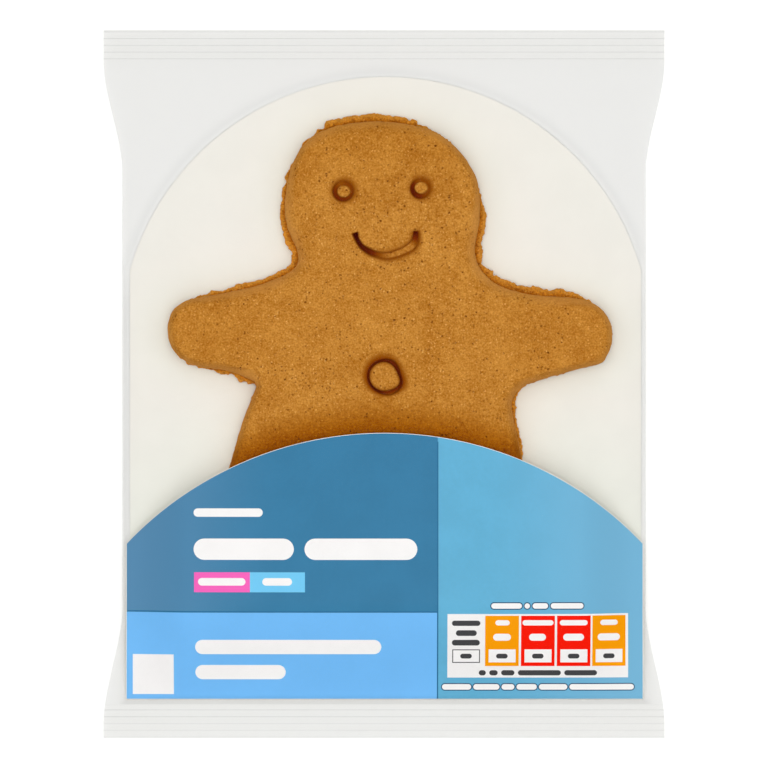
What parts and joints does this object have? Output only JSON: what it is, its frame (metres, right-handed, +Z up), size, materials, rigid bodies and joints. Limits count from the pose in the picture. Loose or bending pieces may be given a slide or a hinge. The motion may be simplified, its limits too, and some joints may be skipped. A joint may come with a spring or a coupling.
{
  "type": "packed gingerbread biscuit",
  "caption": "Gingerbread man biscuit in the pocket of a folded display card, sealed in a clear flow-wrap film with a ridged crimp at the top and the foot.",
  "frame": {"origin": "on the floor that the pack lies on, under the middle of the pack's outline", "axes": "+Z is up, out of the pack's printed front; +Y runs along the pack to its top seal, past the biscuit's head; +X is to the right as the front is read"},
  "size_m": [0.127, 0.1604, 0.0095],
  "materials": {
    "clear_film": "gloss",
    "white_card": "satin",
    "printed_card": "satin",
    "biscuit": "matte"
  },
  "bodies": {
    "root": {"sealed_pack": "clear_film"}
  },
  "joints": []
}
